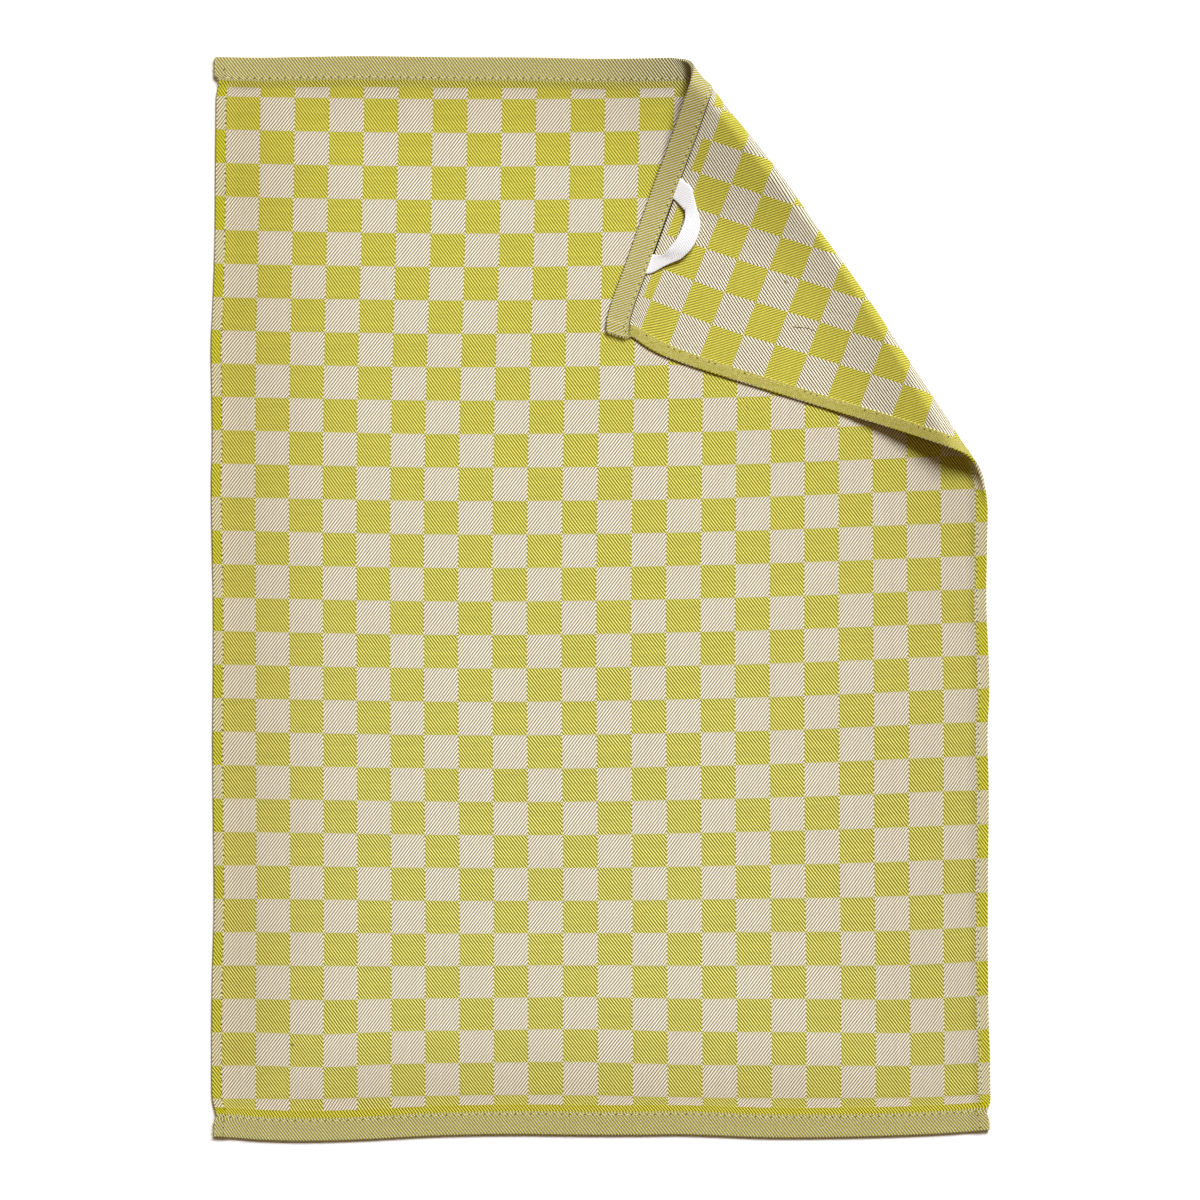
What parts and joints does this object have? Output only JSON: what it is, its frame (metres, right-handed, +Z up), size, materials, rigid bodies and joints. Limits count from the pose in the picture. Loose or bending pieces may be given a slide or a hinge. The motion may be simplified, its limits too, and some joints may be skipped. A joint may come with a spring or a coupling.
{
  "type": "tea towel",
  "caption": "Hemmed cotton tea towel in a small two-colour check, lying face up with one corner folded over to show its hanging loop.",
  "frame": {"origin": "on the surface under the middle of the lying towel", "axes": "+X towards the towel's right side, +Y towards its folded top end, +Z up from the surface"},
  "size_m": [0.502, 0.6994, 0.0213],
  "materials": {
    "check_cotton": "matt woven check, olive green and beige",
    "white_tape": "matt white twill tape"
  },
  "bodies": {
    "root": {"towel": "check_cotton", "hanging_loop": "white_tape"}
  },
  "joints": []
}
